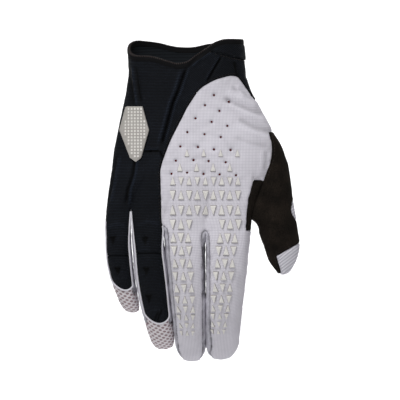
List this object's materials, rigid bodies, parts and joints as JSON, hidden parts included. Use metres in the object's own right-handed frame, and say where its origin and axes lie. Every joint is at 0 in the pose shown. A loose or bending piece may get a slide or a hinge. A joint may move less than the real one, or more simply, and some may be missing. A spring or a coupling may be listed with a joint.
{
  "type": "motocross glove",
  "caption": "Right-hand motocross glove filled out as if worn: black ribbed textile, light knit back with raised rubber triangles, suede palm and thumb, knit cuff.",
  "frame": {"origin": "middle of the cuff mouth, where the wrist goes in", "axes": "+Z out of the cuff mouth, fingers towards -Z, back of the hand towards -Y, thumb towards +X"},
  "size_m": [0.13, 0.0648, 0.2154],
  "materials": {
    "ribbed_black": "matte ribbed textile",
    "light_knit": "matte ripstop knit",
    "light_mesh": "matte perforated mesh",
    "black_suede": "matte synthetic suede",
    "dark_knit": "matte knit",
    "brown_binding": "matte stitched edge",
    "light_rubber": "satin moulded rubber"
  },
  "bodies": {
    "root": {"back_black": "ribbed_black", "back_white": "light_knit", "finger_black_little": "ribbed_black", "finger_black_ring": "ribbed_black", "finger_mesh_little": "light_mesh", "finger_mesh_ring": "light_mesh", "fourchette_little_ring": "light_knit", "fourchette_ring_middle": "light_knit", "fourchette_middle_index": "light_knit", "palm_panel": "black_suede", "thumb_wrap": "black_suede", "thumb_tip": "light_knit", "thumb_back": "light_knit", "cuff_palm": "dark_knit", "cuff_flap": "ribbed_black", "cuff_binding": "brown_binding", "badge_pad": "light_rubber"}
  },
  "joints": []
}
